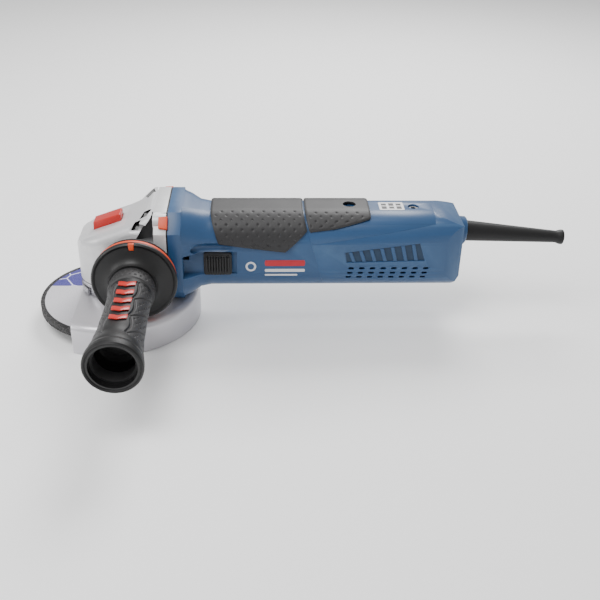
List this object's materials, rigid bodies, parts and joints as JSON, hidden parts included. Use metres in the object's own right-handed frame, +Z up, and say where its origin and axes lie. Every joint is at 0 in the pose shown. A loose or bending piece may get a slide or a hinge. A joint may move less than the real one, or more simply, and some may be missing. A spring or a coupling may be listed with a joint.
{
  "type": "angle grinder",
  "caption": "Corded small angle grinder with a grinding disc, turnable guard, slide switch, spindle lock, bevel gears, motor and damped side handle.",
  "frame": {"origin": "centre of the spindle's free end face, under the lock nut", "axes": "+X along the motor axis towards the cord, +Z up along the spindle away from the disc, side handle towards -Y"},
  "size_m": [0.4327, 0.2416, 0.1027],
  "materials": {
    "cast_metal": "satin",
    "blue_plastic": "satin",
    "soft_black": "matte",
    "black_plastic": "satin",
    "orange_rubber": "satin",
    "red_plastic": "gloss",
    "guard_steel": "satin",
    "steel": "brushed",
    "dark_steel": "satin",
    "abrasive": "rough",
    "printed_paper": "matte",
    "copper": "satin",
    "carbon": "matte",
    "grey_plastic": "satin"
  },
  "bodies": {
    "housing": {"spindle_bearing_outer": "steel", "spindle_bush": "copper", "front_bearing_outer": "steel", "rear_bearing_outer": "steel", "bearing_bridge": "black_plastic", "stator_core": "dark_steel", "field_coils": "copper", "air_baffle": "black_plastic", "brush_holders": "copper", "carbon_brushes": "carbon", "gear_housing": "cast_metal", "gear_screws": "steel", "bearing_flange": "steel", "neck_gasket": "soft_black", "neck_screws": "dark_steel", "motor_housing": "blue_plastic", "front_grip_pad": "soft_black", "sealing_ring": "orange_rubber", "bearing_plate": "steel", "rear_lower_shell": "blue_plastic", "rear_upper_shell": "blue_plastic", "rear_grip_pad": "soft_black", "shell_screws": "dark_steel", "rating_sticker": "printed_paper", "cord_boot": "soft_black", "switch_module": "grey_plastic", "electronics_module": "grey_plastic", "cord_clamp": "black_plastic", "handle_stud": "steel", "handle_base": "black_plastic", "handle_damper": "orange_rubber", "handle_flange": "black_plastic", "handle_core": "grey_plastic", "grip_sleeve": "soft_black"},
    "spindle_unit": {"spindle": "steel", "spindle_bearing_inner": "steel", "crown_gear": "dark_steel", "backing_flange": "steel", "grinding_disc": "abrasive", "disc_label": "printed_paper", "lock_nut": "dark_steel"},
    "armature": {"armature_shaft": "steel", "bevel_pinion": "dark_steel", "front_bearing_inner": "steel", "rear_bearing_inner": "steel", "armature_core": "dark_steel", "armature_windings": "copper", "commutator": "copper", "fan": "black_plastic"},
    "spindle_lock": {"lock_button": "red_plastic", "lock_pin": "steel", "lock_spring": "steel"},
    "switch": {"switch_slider": "black_plastic", "switch_rod": "black_plastic"},
    "wheel_guard": {"guard": "guard_steel", "guard_collar": "guard_steel", "clamp_band": "steel", "clamp_screw": "dark_steel", "lever_pivot": "steel"},
    "lever": {"guard_lever": "steel"}
  },
  "joints": [
    {"name": "spindle_spin", "type": "hinge", "parent": "housing", "child": "spindle_unit", "pos_m": [0, 0, 0], "axis": [0, 0, 1], "continuous": true},
    {"name": "armature_spin", "type": "hinge", "parent": "housing", "child": "armature", "pos_m": [0, 0, 0.0505], "axis": [1, 0, 0], "continuous": true},
    {"name": "lock_press", "type": "slide", "parent": "housing", "child": "spindle_lock", "axis": [0, 0, -1], "range_m": [0, 0.004], "stiffness_N_per_m": 900, "springref_m": -0.002, "deforming": ["lock_spring"]},
    {"name": "switch_slide", "type": "slide", "parent": "housing", "child": "switch", "axis": [-1, 0, 0], "range_m": [0, 0.008]},
    {"name": "guard_turn", "type": "hinge", "parent": "housing", "child": "wheel_guard", "pos_m": [0, 0, 0], "axis": [0, 0, 1], "range_deg": [-90, 90]},
    {"name": "lever_open", "type": "hinge", "parent": "wheel_guard", "child": "lever", "pos_m": [-0.02438, 0.01408, 0.012], "axis": [0, 0, 1], "range_deg": [-35, 0]}
  ],
  "couplings": [
    {"joint": "armature_spin", "follows": "spindle_spin", "ratio": 3}
  ]
}
